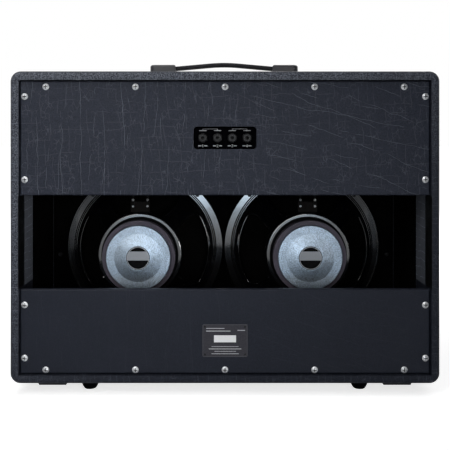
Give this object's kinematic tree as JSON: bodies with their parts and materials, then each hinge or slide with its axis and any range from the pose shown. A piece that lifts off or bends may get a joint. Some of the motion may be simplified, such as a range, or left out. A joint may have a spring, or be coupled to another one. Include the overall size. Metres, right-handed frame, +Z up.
{
  "type": "guitar speaker cabinet",
  "caption": "Open-backed guitar speaker cabinet in black vinyl, with a rear jack plate, a strap handle, rubber feet and twelve-inch drivers on a grille-clothed baffle.",
  "frame": {"origin": "on the floor, under the middle of the cabinet", "axes": "+X to the right as seen from the open rear, +Y from the open rear to the grille, +Z up"},
  "size_m": [0.715, 0.28, 0.5671],
  "materials": {
    "vinyl": "black wrinkle-grain vinyl",
    "panel_vinyl": "board wrapped in black wrinkle-grain vinyl",
    "plywood": "birch plywood",
    "cleat_wood": "softwood painted black",
    "baffle_paint": "board painted black",
    "grille_cloth": "woven black cloth",
    "zinc_screw": "bright zinc plate",
    "black_steel": "black oxide steel",
    "rating_plate": "satin dark grey",
    "jack_plate": "satin black",
    "jack_plastic": "black moulding",
    "contact_brass": "tinned brass strip",
    "circuit_board": "green laminate",
    "handle_rubber": "black grained rubber",
    "handle_plastic": "black moulding",
    "foot_rubber": "black rubber",
    "base_pad": "charcoal moulding",
    "chassis_paint": "gloss black paint on pressed steel",
    "motor_zinc": "blue-white zinc plate on turned steel",
    "ferrite": "sintered ferrite",
    "cone_paper": "pressed paper",
    "coil_copper": "copper winding on a former",
    "spider_cloth": "resin-treated cloth",
    "surround_cloth": "doped cloth",
    "gasket": "cork-rubber strip",
    "magnet_label": "plain printed film",
    "terminal_board": "brown laminate",
    "lead_insulation": "black insulation"
  },
  "bodies": {
    "cabinet": {"vinyl_covering": "vinyl", "upper_rear_panel": "panel_vinyl", "lower_rear_panel": "panel_vinyl", "top_board": "plywood", "bottom_board": "plywood", "left_side_board": "plywood", "right_side_board": "plywood", "upper_cleats": "cleat_wood", "lower_cleats": "cleat_wood", "front_battens": "cleat_wood", "front_baffle": "baffle_paint", "grille_cloth": "grille_cloth", "rear_panel_screws": "zinc_screw", "baffle_screws": "zinc_screw", "jack_plate_screws": "zinc_screw", "handle_screws": "zinc_screw", "foot_screws": "zinc_screw", "rating_plate_rivets": "zinc_screw", "driver_bolts": "black_steel", "driver_nuts": "black_steel", "rating_plate": "rating_plate", "jack_plate": "jack_plate", "jack_sockets": "jack_plastic", "jack_nuts": "jack_plastic", "terminal_tags": "contact_brass", "jack_circuit_board": "circuit_board", "left_handle_cap": "handle_plastic", "right_handle_cap": "handle_plastic", "front_left_foot": "foot_rubber", "front_right_foot": "foot_rubber", "rear_left_foot": "foot_rubber", "rear_right_foot": "foot_rubber", "rear_base_pads": "base_pad", "left_chassis": "chassis_paint", "right_chassis": "chassis_paint", "left_front_plate": "motor_zinc", "right_front_plate": "motor_zinc", "left_rear_plate": "motor_zinc", "right_rear_plate": "motor_zinc", "left_magnet": "ferrite", "right_magnet": "ferrite", "left_spider": "spider_cloth", "right_spider": "spider_cloth", "left_surround": "surround_cloth", "right_surround": "surround_cloth", "driver_gaskets": "gasket", "magnet_labels": "magnet_label", "terminal_boards": "terminal_board", "driver_leads": "lead_insulation"},
    "left_moving_cone": {"left_cone": "cone_paper", "left_dust_cap": "cone_paper", "left_voice_coil": "coil_copper"},
    "right_moving_cone": {"right_cone": "cone_paper", "right_dust_cap": "cone_paper", "right_voice_coil": "coil_copper"},
    "strap": {"handle_strap": "handle_rubber"},
    "contact_1": {"jack_contact_1": "contact_brass"},
    "contact_2": {"jack_contact_2": "contact_brass"},
    "contact_3": {"jack_contact_3": "contact_brass"},
    "contact_4": {"jack_contact_4": "contact_brass"}
  },
  "joints": [
    {"name": "left_cone_travel", "type": "slide", "parent": "cabinet", "child": "left_moving_cone", "axis": [0, 1, 0], "range_m": [-0.004, 0.004], "stiffness_N_per_m": 3000, "deforming": ["left_surround", "left_spider"]},
    {"name": "right_cone_travel", "type": "slide", "parent": "cabinet", "child": "right_moving_cone", "axis": [0, 1, 0], "range_m": [-0.004, 0.004], "stiffness_N_per_m": 3000, "deforming": ["right_surround", "right_spider"]},
    {"name": "handle_lift", "type": "slide", "parent": "cabinet", "child": "strap", "axis": [0, 0, 1], "range_m": [0, 0.0012]},
    {"name": "jack_contact_1_flex", "type": "hinge", "parent": "cabinet", "child": "contact_1", "pos_m": [-0.0372, -0.1135, 0.43495], "axis": [1, 0, 0], "range_deg": [0, 8], "stiffness_Nm_per_rad": 0.02},
    {"name": "jack_contact_2_flex", "type": "hinge", "parent": "cabinet", "child": "contact_2", "pos_m": [-0.0124, -0.1135, 0.43495], "axis": [1, 0, 0], "range_deg": [0, 8], "stiffness_Nm_per_rad": 0.02},
    {"name": "jack_contact_3_flex", "type": "hinge", "parent": "cabinet", "child": "contact_3", "pos_m": [0.0124, -0.1135, 0.43495], "axis": [1, 0, 0], "range_deg": [0, 8], "stiffness_Nm_per_rad": 0.02},
    {"name": "jack_contact_4_flex", "type": "hinge", "parent": "cabinet", "child": "contact_4", "pos_m": [0.0372, -0.1135, 0.43495], "axis": [1, 0, 0], "range_deg": [0, 8], "stiffness_Nm_per_rad": 0.02}
  ]
}
